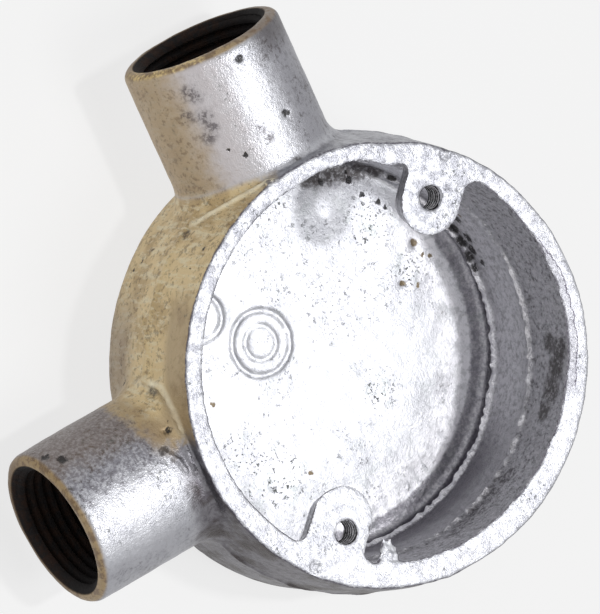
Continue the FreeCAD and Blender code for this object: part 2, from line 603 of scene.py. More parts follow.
@dataclass(frozen=True)
class Tap:
    """Cutting tools of a tapped hole that opens along +X.

    Attributes:
        radius: Radius of the plain hole in the solid.
        pitch: Advance of the thread in a turn.
        depth: How deep its groove is.
        clearance: How much wider the cut is than the plain hole.
        play: How far the groove's bar reaches into the open hole.
        countersink: How far the mouth is opened out.
        overrun: How far the cut runs past the metal.
        steps: Sides of a full turn.
    """

    radius: float
    pitch: float
    depth: float
    clearance: float
    play: float
    countersink: float
    overrun: float
    steps: int

    def tools(
        self, start: float, mouth: float, groove: tuple[float, float], place: Matrix
    ) -> list[bmesh.types.BMesh]:
        """Hole with its countersink, and the thread's groove.

        Args:
            start: Where the hole begins along X.
            mouth: Where it opens.
            groove: Where the groove begins, and how far it runs.
            place: Matrix that puts the hole into the row frame.

        Returns:
            Two closed shapes.
        """
        bore = self.radius + self.clearance
        past = mouth + self.overrun
        outline = [
            (start, 0),
            (start, bore),
            (mouth - self.countersink, bore),
            (past, bore + self.countersink + self.overrun),
            (past, 0),
        ]
        forms = [
            turned_solid(outline, self.steps),
            thread_groove(*groove, self.pitch, bore - self.play, self.radius + self.depth, self.steps),
        ]
        for form in forms:
            bmesh.ops.transform(form, matrix=place, verts=form.verts)
        return forms


def spout_taps() -> list[bmesh.types.BMesh]:
    """Cutting tools of both spouts, for 20 mm conduit."""
    mount = record_mount("spout_x_thread")
    radius = mount["dims"]["r_mm"]
    tap = Tap(radius, pitch=1.5, depth=0.8, clearance=0.05, play=0.15, countersink=1.4, overrun=1.0, steps=72)
    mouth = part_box(NODE)[1].x / MM
    shoulder = mount["pos_m"][0] / MM - mount["dims"]["length_mm"] / 2
    groove = (shoulder + 0.8, mouth - shoulder)
    lift = Matrix.Translation((0, 0, SPOUT_LEVEL))
    return [tool for side in SpoutSide for tool in tap.tools(shoulder, mouth, groove, side.turn @ lift)]


def screw_taps() -> list[bmesh.types.BMesh]:
    """Cutting tools of the tongues' holes, for the lid's two screws."""
    mount = record_mount("lid_screws")
    radius = mount["dims"]["hole_r_mm"]
    tap = Tap(radius, pitch=0.7, depth=0.36, clearance=0.06, play=0.12, countersink=0.3, overrun=0.9, steps=40)
    thickness = 4.4
    below = -thickness - tap.overrun
    groove = (below, thickness + 2 * tap.overrun)
    out = Matrix.Translation((mount["dims"]["pcd_mm"] / 2, 0, mount["pos_m"][2] / MM))
    upright = Matrix.Rotation(-math.pi / 2, 4, "Y")
    forms = []
    for half in range(mount["dims"]["count"]):
        turn = Matrix.Rotation(SCREW_TURN + math.pi * half, 4, "Z")
        forms += tap.tools(below, 0.0, groove, turn @ out @ upright)
    return forms


# Beads that the joints of the core left on the cavity's wall
CORE_BEAD = RoundBead(
    CORE_CENTRE, 29.3, level=4.1, width=0.6, height=0.7, unevenness=0.7, lump=0.9, tilt=1.9, high_side=-160.0
)
CORE_RIDGE = RoundBead(
    CORE_CENTRE, 29.8, level=15.0, width=0.5, height=0.4, unevenness=1.2, lump=1.0, tilt=1.9, high_side=-165.0
)

# Ridges where the spouts grow out of the drum
X_SPOUT_RIDGE = Fin(
    (
        (32.8, 4.6, 26.2),
        (32.7, 5.6, 25.7),
        (32.5, 7.4, 24.6),
        (32.0, 9.6, 22.8),
        (31.5, 12.0, 20.6),
        (31.0, 13.5, 18.8),
        (30.5, 14.8, 16.6),
    ),
    width=0.48,
    height=0.46,
)
Y_SPOUT_RIDGE = Fin(
    (
        (12.9, 31.5, 13.7),
        (13.1, 31.4, 15.4),
        (12.9, 31.4, 17.1),
        (12.3, 31.4, 19.8),
        (10.2, 32.0, 21.6),
        (8.2, 32.4, 22.9),
        (6.3, 32.8, 23.7),
    ),
    width=0.55,
    height=0.55,
)


def cast_marks(casting: BoxCasting) -> list[Relief]:
    """What the mould, the fettling and the zinc bath left on the skin.

    Args:
        casting: The casting whose sizes the marks follow.

    Returns:
        The marks.
    """
    floor = casting.floor_level
    level = casting.parting_level
    rim = casting.rim_level
    return [
        RingMark((6.5, 6.9, floor), 4.85, 0.42, 0.3),
        RingMark((6.5, 6.9, floor), 2.55, 0.38, 0.22),
        RingMark((14.4, 14.1, floor), 3.5, 0.42, 0.3),
        RingMark((23.5, -22.4, rim), 0.75, 0.22, -0.3),
        RingMark((-20.8, 23.9, rim), 0.75, 0.22, -0.3),
        CORE_BEAD,
        CORE_RIDGE,
        CoreStep(CORE_RIDGE, level + casting.core_step / 2, casting.core_step),
        RoundBead((0.0, 0.0), 34.1, level + 0.1, 0.4, 0.2, 1.0, 2.6),
        X_SPOUT_RIDGE,
        Y_SPOUT_RIDGE,
        Fin(((21.2, 26.7, 13.2), (18.6, 28.6, 15.5), (15.3, 30.4, 16.2), (13.4, 31.2, 16.6)), 0.28, 0.3),
        Fin(((4.6, 36.9, 23.6), (2.8, 35.6, 24.5), (1.0, 35.4, 24.7)), 0.4, 0.32),
        Fin(((4.6, 33.5, 24.2), (2.1, 34.1, 24.6), (0.2, 34.0, 24.8)), 0.4, 0.32),
        Dent((14.7, 30.7, 16.0), 0.8, 0.45),
        Dent((24.2, 20.9, 11.5), 0.9, 0.15),
        Dent((18.6, -20.7, rim), 0.35, -0.2),
        Dent((17.6, -21.8, rim), 0.35, -0.2),
        Dent((40.0, -2.6, 24.5), 0.6, -0.3),
        Dent((50.5, 0.7, 24.7), 0.6, -0.25),
        Dent((10.4, 50.0, 19.0), 0.6, -0.25),
        Dent((11.4, 51.5, 16.9), 0.6, -0.2),
        Dent((7.0, 34.8, 22.3), 0.6, -0.35),
        Dent((6.4, 33.4, 20.6), 0.6, -0.25),
        Dent((29.8, 16.4, 16.6), 0.7, -0.2),
        Dent((8.0, -22.6, floor), 0.7, -0.25),
        Dent((3.4, -18.2, floor), 0.6, -0.2),
    ]


def swells() -> list[Swell]:
    """Places where the rim's inner edge stands in."""
    return [
        Swell((26.6, -13.8, 26.5), (-1.05, 0.55, 0.0), 3.4),
        Swell((-26.6, 13.2, 26.5), (0.25, -0.1, 0.0), 2.4),
    ]


# Finishes


class Scalar:
    """A number that varies over a surface, with Python's operators."""

    def __init__(self, recipe: "Recipe", socket: bpy.types.NodeSocket) -> None:
        """Wraps a socket of a recipe's node tree.

        Args:
            recipe: Where new nodes go.
            socket: Output that carries the number.
        """
        self.recipe = recipe
        self.socket = socket

    def _maths(self, operation: str, *terms: Number) -> "Scalar":
        """Number from a Math node."""
        return self.recipe.maths(operation, *terms)

    def __add__(self, other: Number) -> "Scalar":
        """Sum."""
        return self._maths("ADD", self, other)

    __radd__ = __add__

    def __sub__(self, other: Number) -> "Scalar":
        """Difference."""
        return self._maths("SUBTRACT", self, other)

    def __rsub__(self, other: Number) -> "Scalar":
        """Difference, the other way round."""
        return self._maths("SUBTRACT", other, self)

    def __mul__(self, other: Number) -> "Scalar":
        """Product."""
        return self._maths("MULTIPLY", self, other)

    __rmul__ = __mul__

    def __abs__(self) -> "Scalar":
        """Absolute value."""
        return self._maths("ABSOLUTE", self)

    def step(self, low: float, high: float) -> "Scalar":
        """Smooth step from 0 at low to 1 at high; low may be the larger.

        Args:
            low: Where the step starts.
            high: Where it ends.

        Returns:
            The step, from 0 to 1.
        """
        ends = (low, high) if low < high else (high, low)
        node = self.recipe.node(
            "ShaderNodeMapRange",
            {"interpolation_type": "SMOOTHSTEP"},
            {"Value": self, "From Min": ends[0], "From Max": ends[1]},
        )
        rising = Scalar(self.recipe, node.outputs["Result"])
        return rising if low < high else 1 - rising

    def either(self, other: Number) -> "Scalar":
        """The larger of two numbers."""
        return self._maths("MAXIMUM", self, other)


class Recipe:
    """Node tree of one material or world."""

    def __init__(self, owner: bpy.types.Material | bpy.types.World) -> None:
        """Starts with an empty node tree.

        Args:
            owner: The material or world that the nodes are for.
        """
        owner.use_nodes = True
        self.owner = owner
        self.tree = owner.node_tree
        self.tree.nodes.clear()

    def node(self, kind: str, settings: dict | None = None, values: dict | None = None) -> bpy.types.Node:
        """Adds a node: its settings first, then its sockets.

        Args:
            kind: Type of the node.
            settings: Properties of the node.
            values: Number, colour or link for each input, by name or place.

        Returns:
            The node.
        """
        made = self.tree.nodes.new(kind)
        for name, value in (settings or {}).items():
            setattr(made, name, value)
        for name, value in (values or {}).items():
            self._feed(made.inputs[name], value)
        return made

    def _feed(self, socket: bpy.types.NodeSocket, value: object) -> None:
        """Sets a socket, or links it."""
        if isinstance(value, Scalar):
            value = value.socket
        if isinstance(value, bpy.types.NodeSocket):
            self.tree.links.new(value, socket)
        else:
            socket.default_value = value

    def maths(self, operation: str, *terms: Number) -> Scalar:
        """Number from a Math node, whose inputs are given in order."""
        node = self.node("ShaderNodeMath", {"operation": operation}, dict(enumerate(terms)))
        return Scalar(self, node.outputs[0])

    def vector(self, operation: str, *terms: object, **values: object) -> bpy.types.Node:
        """Vector Math node, whose vectors are given in order and other sockets by name."""
        return self.node("ShaderNodeVectorMath", {"operation": operation}, dict(enumerate(terms)) | values)

    def place(self) -> bpy.types.NodeSocket:
        """Object coordinates in millimetres."""
        coordinates = self.node("ShaderNodeTexCoord")
        return self.vector("SCALE", coordinates.outputs["Object"], Scale=1 / MM).outputs[0]

    def upright(self) -> Scalar:
        """How far the surface faces up, from -1 to 1."""
        coordinates = self.node("ShaderNodeTexCoord")
        return self.parts(coordinates.outputs["Normal"])[2]

    def parts(self, vector: bpy.types.NodeSocket) -> tuple[Scalar, Scalar, Scalar]:
        """The three parts of a vector."""
        node = self.node("ShaderNodeSeparateXYZ", values={0: vector})
        return tuple(Scalar(self, output) for output in node.outputs)

    def clouds(self, vector: bpy.types.NodeSocket, size: float, detail: float = 2.0, rough: float = 0.5) -> Scalar:
        """Soft noise around a half.

        Args:
            vector: Where it is read, in millimetres.
            size: Size of its features, in millimetres.
            detail: Octaves.
            rough: How much the finer octaves count.

        Returns:
            The noise.
        """
        node = self.node(
            "ShaderNodeTexNoise", {}, {"Vector": vector, "Scale": 1 / size, "Detail": detail, "Roughness": rough}
        )
        return Scalar(self, node.outputs[0])

    def ragged(self, vector: bpy.types.NodeSocket, size: float, amount: float) -> bpy.types.NodeSocket:
        """Coordinates pushed about by noise, for ragged outlines.

        Args:
            vector: Coordinates in millimetres.
            size: Size of the raggedness.
            amount: How far it pushes.

        Returns:
            The new coordinates.
        """
        pushes = self.node("ShaderNodeTexNoise", {}, {"Vector": vector, "Scale": 1 / size, "Detail": 2.0})
        centred = self.vector("SUBTRACT", pushes.outputs[1], (0.5, 0.5, 0.5)).outputs[0]
        scaled = self.vector("SCALE", centred, Scale=2 * amount).outputs[0]
        return self.vector("ADD", vector, scaled).outputs[0]

    def nearness(self, vector: bpy.types.NodeSocket, spots: Sequence["Spot"]) -> Scalar:
        """How near the nearest of some spots is.

        Args:
            vector: Coordinates in millimetres.
            spots: The spots.

        Returns:
            Distance as a share of the spot's radius.
        """
        nearest: Scalar | None = None
        for spot in spots:
            away = Scalar(self, self.vector("DISTANCE", vector, spot.place).outputs["Value"]) * (1 / spot.radius)
            nearest = away if nearest is None else self.maths("MINIMUM", nearest, away)
        return nearest

    def painted(self, name: str) -> Scalar:
        """Number that is painted on the mesh's points."""
        node = self.node("ShaderNodeAttribute", {"attribute_name": name})
        return Scalar(self, node.outputs["Fac"])

    def blend(self, mask: Number, low: object, high: object) -> bpy.types.NodeSocket:
        """Mixes two colours: the mask is 0 for the first and 1 for the second."""
        node = self.node("ShaderNodeMix", {"data_type": "RGBA"}, {0: mask, 6: low, 7: high})
        return node.outputs[2]

    def surface(self, shader: bpy.types.NodeSocket) -> bpy.types.Material | bpy.types.World:
        """Ends the recipe with its surface shader, and returns the material or world."""
        kind = "World" if isinstance(self.owner, bpy.types.World) else "Material"
        self.node("ShaderNodeOutput" + kind, values={"Surface": shader})
        return self.owner


@dataclass(frozen=True)
class Spot:
    """Place of a single stain or pit.

    Attributes:
        place: Its middle, in millimetres.
        radius: Its size.
    """

    place: tuple[float, float, float]
    radius: float


BLACK_PITS = (
    Spot((50.5, 0.7, 24.7), 0.5),
    Spot((40.0, -2.6, 24.5), 0.5),
    Spot((39.7, -3.1, 24.3), 0.35),
    Spot((37.3, 5.6, 23.4), 0.35),
    Spot((39.0, 7.3, 22.3), 0.22),
    Spot((10.4, 50.0, 19.0), 0.75),
    Spot((11.4, 51.5, 16.9), 0.6),
    Spot((6.3, 33.2, 21.0), 0.45),
    Spot((7.0, 34.5, 22.4), 0.55),
    Spot((7.8, 33.6, 21.6), 0.35),
    Spot((18.6, -20.7, 27.0), 0.22),
    Spot((17.6, -21.8, 27.0), 0.2),
    Spot((23.1, -12.9, 3.6), 0.5),
    Spot((22.7, -16.9, 3.8), 0.5),
    Spot((18.7, -23.0, 4.6), 0.7),
    Spot((21.3, -17.1, 3.4), 0.5),
    Spot((16.2, -20.0, 3.4), 0.4),
    Spot((14.8, -20.6, 3.4), 0.35),
    Spot((18.3, -18.1, 3.4), 0.35),
    Spot((9.0, -28.2, 8.6), 0.75),
    Spot((7.3, -28.7, 5.5), 0.95),
    Spot((5.4, -29.0, 7.4), 0.85),
    Spot((5.0, -29.1, 5.1), 1.0),
    Spot((3.4, -29.2, 6.6), 0.8),
    Spot((2.4, -29.3, 4.9), 0.95),
    Spot((0.6, -29.4, 5.2), 0.75),
    Spot((1.2, -29.4, 7.7), 0.5),
    Spot((28.3, 18.9, 8.9), 0.28),
    Spot((27.1, 20.5, 7.0), 0.22),
    Spot((26.2, 21.5, 5.5), 0.25),
    Spot((24.6, 23.4, 6.0), 0.28),
    Spot((28.3, 17.8, 23.3), 0.22),
    Spot((26.5, 20.6, 22.3), 0.2),
    Spot((12.7, 31.5, 8.6), 0.4),
)

DARK_STAINS_AND_SHADOW = (
    # The first six spots paint the shadow along the floor's edge by the tongue at +X-Y, with dark blotches in it;
    # the rest are dark stains.
    Spot((24.6, -10.6, 3.6), 1.2),
    Spot((24.0, -12.4, 3.7), 1.5),
    Spot((23.4, -14.6, 3.8), 1.5),
    Spot((22.6, -16.6, 3.9), 1.5),
    Spot((21.7, -18.8, 4.2), 1.5),
    Spot((20.6, -20.8, 4.6), 1.4),
    Spot((-11.6, -27.2, 24.6), 1.9),
    Spot((-10.9, -27.6, 21.8), 1.6),
    Spot((-14.2, -26.0, 23.6), 2.2),
    Spot((-16.8, -24.4, 22.8), 2.2),
    Spot((-19.4, -22.2, 22.0), 1.6),
    Spot((29.8, 16.4, 16.6), 0.9),
    Spot((11.4, 31.8, 17.6), 1.3),
    Spot((8.4, 32.8, 17.6), 1.1),
    Spot((5.0, 36.7, 23.6), 0.7),
    Spot((4.8, 37.3, 23.4), 0.6),
    Spot((32.8, -1.1, 24.7), 0.8),
)

SOFT_STREAKS_AND_SHADOW = (
    # The first four spots paint soft shadow along the floor's edge by the tongue at +X-Y; the rest are soft dark
    # streaks.
    Spot((24.2, -12.0, 3.8), 1.5),
    Spot((23.2, -14.8, 3.8), 1.6),
    Spot((22.2, -17.6, 4.0), 1.6),
    Spot((21.0, -20.2, 4.4), 1.5),
    Spot((-26.0, -13.4, 19.3), 1.5),
    Spot((-27.4, -10.4, 18.7), 1.5),
    Spot((-28.4, -7.0, 18.6), 1.5),
    Spot((-28.9, -4.0, 19.3), 1.4),
    Spot((-29.1, -1.4, 20.2), 1.2),
    Spot((49.0, 8.7, 21.1), 1.0),
    Spot((48.1, 8.2, 21.6), 0.9),
    Spot((45.5, 9.9, 19.8), 0.9),
    Spot((44.7, 8.2, 21.6), 1.1),
    Spot((43.0, 7.9, 21.9), 0.9),
    Spot((41.8, 8.7, 21.1), 1.0),
    Spot((39.8, 2.1, 24.6), 0.7),
    Spot((38.0, 1.4, 24.7), 0.7),
)

RUST_SPOTS = (
    Spot((8.0, -22.6, 3.3), 0.65),
    Spot((3.4, -18.2, 3.3), 0.5),
    Spot((2.0, -20.3, 3.3), 0.4),
    Spot((2.0, 18.0, 3.3), 0.45),
    Spot((5.7, -23.0, 3.3), 0.4),
    Spot((4.9, -24.1, 3.3), 0.4),
    Spot((-14.6, 8.2, 3.3), 0.4),
    Spot((9.6, -27.6, 10.4), 0.6),
)

SPECK_CLUSTERS = (
    Spot((-12.4, 13.6, 3.3), 5.6),
    Spot((-7.0, 17.0, 3.3), 3.5),
    Spot((24.5, -3.0, 3.3), 4.0),
    Spot((14.0, -17.0, 3.3), 4.5),
    Spot((-9.0, -7.5, 3.3), 3.5),
    Spot((4.5, -20.5, 3.3), 3.0),
)


class SkinMap:
    """Where the parts of the box's surface lie, as masks and patterns."""

    def __init__(self, recipe: Recipe) -> None:
        """Adds the nodes of the masks to a material's recipe."""
        self.place = recipe.place()
        self.x, self.y, self.z = recipe.parts(self.place)
        self.upright = recipe.upright()
        lift = self.z - SPOUT_LEVEL
        core_x = self.x - CORE_CENTRE[0]
        self.body_radius = recipe.maths("SQRT", self.x * self.x + self.y * self.y)
        self.core_radius = recipe.maths("SQRT", core_x * core_x + self.y * self.y)
        self.x_spout_radius = recipe.maths("SQRT", self.y * self.y + lift * lift)
        self.y_spout_radius = recipe.maths("SQRT", self.x * self.x + lift * lift)

        self.patches = recipe.clouds(self.place, 6.0, 3.0, 0.6)
        self.mottle = recipe.clouds(self.place, 1.6, 3.0, 0.65)
        self.fine = recipe.clouds(self.place, 0.5, 2.0, 0.6)
        self.grit = recipe.clouds(self.place, 0.8, 4.0, 0.75)
        self.grain = recipe.clouds(self.place, 0.2, 1.0, 0.5)
        upward = recipe.vector("MULTIPLY", self.place, (1.0, 1.0, 0.3)).outputs[0]
        self.streaks = recipe.clouds(upward, 0.9, 3.0, 0.6)

        self.outer = self.body_radius.step(31.7, 32.3)
        self.top = self.z.step(26.1, 26.5) * self.upright.step(0.35, 0.7)
        self.side = self.outer * (1 - self.top)
        self.floor = self.z.step(4.4, 3.9) * self.core_radius.step(29.4, 28.8)
        self.cavity_wall = (1 - self.outer) * (1 - self.top) * (1 - self.floor)
        self.x_spout = self.x.step(32.4, 34.6)
        self.y_spout = self.y.step(34.5, 38.0)


@dataclass(frozen=True)
class ZincColours:
    """Colours of hot-dip zinc on malleable iron, and of what was laid on it in use.

    Attributes:
        bright: Clean zinc.
        dull: Zinc where it has greyed.
        slate_and_shade: Darker zinc in the cavity, on the rim and at a spout's mouth; also painted shade on the
            spouts' flanks and on the drum.
        sheen: Zinc on the cavity's wall.
        frost_and_painted_light: Palest zinc: a pale band on the cavity's wall, painted light on the floor beside
            the cavity's shaded corner, and painted highlights on the beads that the core left.
        outline: Dark dirt and painted shade along the rim's edges, the rim's hairline, and painted shadow in the
            cavity's corner and on the wall's foot towards -X.
        soot_and_shade: Dark dirt and dark grain; also painted shade low on the drum towards -X, and painted shadow
            on the floor by the tongue at +X-Y.
        streak: Soft dark streaks, and painted shadow on the floor by the tongue at +X-Y.
        haze: Greyed zinc where pits crowd.
        speck: Tiny pits.
        pit: Single deep pits.
        rust: Rust spots.
        mauve_film: Thin film on the spout along +X.
        brown_film: Thin film on the spout along +Y.
        gold: Stain on the outside between the spouts.
        ochre: Deeper patches of it.
        cream: Light streaks in it.
        dun: The stain near the rim.
        warm_grey: The stain low down, by the spout along +Y.
        buff: The stain on the spout along +X.
        drab: The stain at the root of the spout along +Y.
        brown: Dirt in the stain and at the mouths, and the painted shadow below the ridge at the root of the spout
            along +Y.
        ridge: Painted highlight on the ridges at the spouts' roots.
        iron: Bare iron of the tapped bores.
        rusty_iron: The same, where it rusts.
        edge_iron: Worn iron at the spouts' mouths.
        glint: Bright scratches in it.
    """

    bright: Colour = display_colour(190, 191, 196)
    dull: Colour = display_colour(150, 151, 158)
    slate_and_shade: Colour = display_colour(112, 110, 118)
    sheen: Colour = display_colour(206, 204, 208)
    frost_and_painted_light: Colour = display_colour(244, 243, 248)
    outline: Colour = display_colour(70, 64, 78)
    soot_and_shade: Colour = display_colour(58, 50, 48)
    streak: Colour = display_colour(76, 70, 74)
    haze: Colour = display_colour(140, 147, 145)
    speck: Colour = display_colour(84, 92, 84)
    pit: Colour = display_colour(24, 20, 20)
    rust: Colour = display_colour(112, 92, 52)
    mauve_film: Colour = display_colour(198, 189, 188)
    brown_film: Colour = display_colour(122, 104, 86)
    gold: Colour = display_colour(230, 206, 156)
    ochre: Colour = display_colour(176, 146, 96)
    cream: Colour = display_colour(238, 226, 192)
    dun: Colour = display_colour(160, 138, 110)
    warm_grey: Colour = display_colour(158, 144, 134)
    buff: Colour = display_colour(178, 156, 128)
    drab: Colour = display_colour(152, 130, 100)
    brown: Colour = display_colour(118, 94, 66)
    ridge: Colour = display_colour(255, 246, 218)
    iron: Colour = display_colour(30, 27, 27)
    rusty_iron: Colour = display_colour(74, 46, 28)
    edge_iron: Colour = display_colour(168, 142, 98)
    glint: Colour = display_colour(238, 212, 146)


class GalvanisedZinc:
    """Finish of the casting: satin zinc with dirt, stain, pits and bare iron, and painted shade, shadow and
    highlights, laid on coat by coat.
    """

    metallic: float = 0.86
    roughness: float = 0.42

    def __init__(self, colours: ZincColours) -> None:
        """Starts with clean zinc all over, in the given colours."""
        self.colours = colours
        self.recipe = Recipe(bpy.data.materials.new("galvanised_zinc"))
        self.skin = SkinMap(self.recipe)
        self.base = colours.bright

    def lay(self, mask: Number, colour: object) -> None:
        """Lays a colour over the rest, where a mask is 1."""
        self.base = self.recipe.blend(mask, self.base, colour)

    def grey_the_rim(self) -> None:
        """Greys the zinc in patches, most of all on the rim."""
        skin, colours = self.skin, self.colours
        greyed = (skin.patches * 0.5 + skin.mottle * 0.5).step(0.42, 0.64)
        self.lay(greyed * 0.5, colours.dull)
        rim_grey = skin.top * skin.mottle.step(0.41, 0.61) * (0.4 + skin.x.step(-8.0, 20.0) * 0.5)
        self.lay(rim_grey, colours.dull)
        rim_dirt = skin.top * skin.fine.step(0.54, 0.66) * skin.mottle.step(0.44, 0.58)
        self.lay(rim_dirt * 0.35, colours.slate_and_shade)

    def shade_the_cavity(self) -> None:
        """Paints shadow into the cavity's corner and shade on the wall's foot towards -X, paints light on the
        floor beside that shadow, and lays a pale band and painted highlights on the beads of its wall.
        """
        skin, colours = self.skin, self.colours
        wall = skin.cavity_wall
        upper = skin.z.step(15.0, 18.0)
        woven = skin.streaks.step(0.44, 0.6) * upper * 0.22 + skin.fine.step(0.4, 0.64) * 0.3
        self.lay(wall * (upper * 0.15 + woven * 0.8), colours.slate_and_shade)
        self.lay(wall * (0.5 + skin.grit.step(0.5, 0.38) * 0.5), colours.sheen)
        self.lay(wall * skin.grit.step(0.5, 0.66) * (0.35 + upper * 0.3), colours.soot_and_shade)

        # Painted light: the floor is made paler towards -X-Y, just short of the wall's shadow.
        shaded = (skin.x + skin.y).step(-4.0, -18.0)
        lit = skin.floor * skin.core_radius.step(19.0, 24.0) * shaded * (1 - skin.mottle.step(0.46, 0.6) * 0.6)
        self.lay(lit * 0.6, colours.frost_and_painted_light)
        # Painted shadow: the floor's corner towards -X-Y is darkened where the wall's shadow falls.
        edge_of_floor = skin.core_radius + (skin.mottle - 0.5) * 0.8
        corner = edge_of_floor.step(26.1, 26.8) * skin.z.step(6.4, 4.4) * shaded
        self.lay(corner * (0.55 + skin.fine.step(0.4, 0.6) * 0.15), colours.outline)

        # Painted shade: the wall is darkened towards -X and down towards the floor.
        foot = wall * skin.x.step(-16.0, -26.0) * (skin.z + skin.mottle * 8).step(24.0, 12.0)
        self.lay(foot * 0.7, colours.outline)
        band = wall * skin.z.step(5.0, 8.0) * skin.z.step(17.0, 11.0) * (1 - foot)
        self.lay(band * (0.2 + skin.grit.step(0.62, 0.4) * 0.4), colours.frost_and_painted_light)
        # Painted highlight: the core's beads and ridge are made pale as if they caught the light.
        beads = self.recipe.painted("core_lines") * (0.6 + skin.fine.step(0.4, 0.6) * 0.5)
        self.lay(beads.step(0.1, 0.9), colours.frost_and_painted_light)

    def shade_the_outside(self) -> None:
        """Paints shade on the drum towards -X and on the flanks of the spouts, with patchy dirt and dark grain on
        them.
        """
        skin, colours = self.skin, self.colours
        neither = 1 - skin.x_spout.either(skin.y_spout)
        grimy = skin.streaks.step(0.46, 0.7).either(skin.mottle.step(0.42, 0.66))
        waver = (skin.mottle - 0.5) * 6.0 + (skin.fine - 0.5) * 3.0
        x, y = skin.x + waver, skin.y + waver

        # Painted shade: the drum darkens towards -X, with patchy dirt over it, and the spouts' flanks darken where
        # they turn from the light.
        drum = skin.side * neither * (0.25 + skin.x.step(14.0, -4.0) * 0.45 + grimy * 0.3)
        x_flank = skin.x_spout * y.step(-0.8, -6.0) * 0.6
        y_flank = skin.y_spout * x.step(2.2, 6.4) * (0.36 + skin.fine.step(0.35, 0.6) * 0.45)
        y_under = skin.y_spout * x.step(-3.5, -8.0) * 0.4
        flank = x_flank.either(y_flank).either(y_under).either(drum)
        self.lay(flank * skin.side, colours.slate_and_shade)

        x_grain = skin.x_spout * y.step(1.0, -4.0)
        y_grain = skin.y_spout * x.step(1.0, 5.0).either(x.step(-3.0, -7.0) * 0.6)
        crowded = skin.grit.step(0.5, 0.64) * (0.35 + skin.patches.step(0.44, 0.6) * 0.5)
        grainy = x_grain.either(y_grain).either(neither * 0.6) * skin.side * crowded
        self.lay(grainy * 0.8, colours.soot_and_shade)

        # Darker near the mouth of the spout along +X on its -Y side; painted shade with patches of dirt low on the
        # drum towards -X.
        dark_lip = skin.x.step(47.0, 51.5) * y.step(-0.5, -5.0) * 0.6
        low = neither * skin.x.step(12.0, -6.0) * (0.4 + skin.patches.step(0.44, 0.6) * 0.5)
        self.lay(dark_lip.either(low) * skin.side, colours.soot_and_shade)

    def stain(self) -> Scalar:
        """Stains the outside between the spouts and along the one on +X.

        Returns:
            How strong the stain is.
        """
        skin, colours, blend = self.skin, self.colours, self.recipe.blend
        waver = (skin.mottle - 0.5) * 5.0 + (skin.patches - 0.5) * 6.0
        off_spouts = (skin.y + waver).step(41.0, 35.0) * (1 - skin.x_spout)
        drum = (skin.x + waver).step(2.0, 8.0) * (skin.y + waver).step(1.0, 7.0) * off_spouts
        x_film = skin.x_spout * (skin.y + waver * 0.7).step(1.5, 7.5) * 0.6
        self.lay(x_film * skin.side, colours.mauve_film)
        y_film = skin.y_spout * (skin.x + waver * 0.7).step(6.5, 10.5) * 0.45
        self.lay(y_film * skin.side, colours.brown_film)
        spout = skin.x_spout * (skin.y + waver * 0.5).step(6.0, 13.0) * 0.9
        strength = (drum.either(spout) * skin.side * 1.2 - 0.1).step(0.0, 0.9)

        near_rim = skin.z.step(19.5, 22.0) * (skin.y - skin.x).step(-4.0, 6.0)
        low = skin.z.step(13.0, 7.0) * skin.y.step(22.0, 29.0)
        streaky = skin.streaks.step(0.47, 0.66) * (1 - near_rim)
        dirt = (skin.mottle * 0.4 + skin.grit * 0.6).step(0.52, 0.62) * (0.8 - near_rim * 0.5)
        foot = skin.z.step(5.0, 2.5) * skin.fine.step(0.42, 0.6)
        tan = colours.gold
        for mask, colour in (
            (skin.patches.step(0.46, 0.62) * 0.6, colours.ochre),
            (streaky * 0.75, colours.cream),
            (near_rim * 0.55, colours.dun),
            (low * 0.6, colours.warm_grey),
            (skin.x_spout * 0.75, colours.buff),
            (skin.y.step(33.5, 36.5) * 0.6, colours.drab),
            (dirt.either(foot * 0.9) * 0.65, colours.brown),
        ):
            tan = blend(mask, tan, colour)
        self.lay(strength * 0.92, tan)
        return strength

    def mark(self) -> tuple[Scalar, Scalar]:
        """Lays specks, single pits, stains and rust spots.

        Returns:
            How much of the zinc they cover, and how deep they are.
        """
        recipe, skin, colours = self.recipe, self.skin, self.colours
        ragged = recipe.ragged(skin.place, 0.7, 0.55)
        broken = recipe.ragged(skin.place, 2.4, 1.6)

        cluster = recipe.nearness(broken, SPECK_CLUSTERS).step(1.25, 0.35) * skin.floor
        haze = recipe.clouds(skin.place, 2.6, 3.0, 0.7).step(0.5, 0.66) * (0.2 + cluster * 0.35) * skin.floor
        self.lay(haze, colours.haze)
        crowd = (0.1 + skin.patches.step(0.5, 0.62) * (0.5 - skin.floor * 0.2)).either(cluster)
        dots = recipe.clouds(skin.place, 0.42, 1.0, 0.5).step(0.65, 0.72)
        grit = recipe.clouds(skin.place, 1.0, 4.0, 0.75).step(0.6, 0.66)
        specks = (dots * 0.7).either(grit) * crowd * (1 - skin.cavity_wall * 0.5)
        self.lay(specks * 0.85, colours.speck)

        # Some of the streaks and stains are painted shadow along the floor's edge by the tongue at +X-Y; the rest
        # are dirt.
        streaks = recipe.nearness(ragged, SOFT_STREAKS_AND_SHADOW).step(1.9, 0.4) * (0.25 + skin.grit.step(0.44, 0.56) * 0.75)
        stains = recipe.nearness(ragged, DARK_STAINS_AND_SHADOW).step(1.3, 0.6) * (0.3 + skin.grit.step(0.36, 0.5) * 0.7)
        self.lay(streaks * 0.75, colours.streak)
        self.lay(stains * 0.75, colours.soot_and_shade)

        rusty = recipe.nearness(ragged, RUST_SPOTS).step(1.2, 0.6)
        self.lay(rusty * 0.9, colours.rust)
        pits = recipe.nearness(ragged, BLACK_PITS).step(1.4, 0.7) * skin.grit.step(0.34, 0.46)
        self.lay(pits * 0.95, colours.pit)
        return specks.either(stains).either(rusty).either(pits), pits.either(specks * 0.6)

    def outline_the_rim(self) -> None:
        """Lays dark lines along the edges of the rim and tongues, partly dirt and partly painted shade, and a
        hairline on the rim.
        """
        skin, colours = self.skin, self.colours
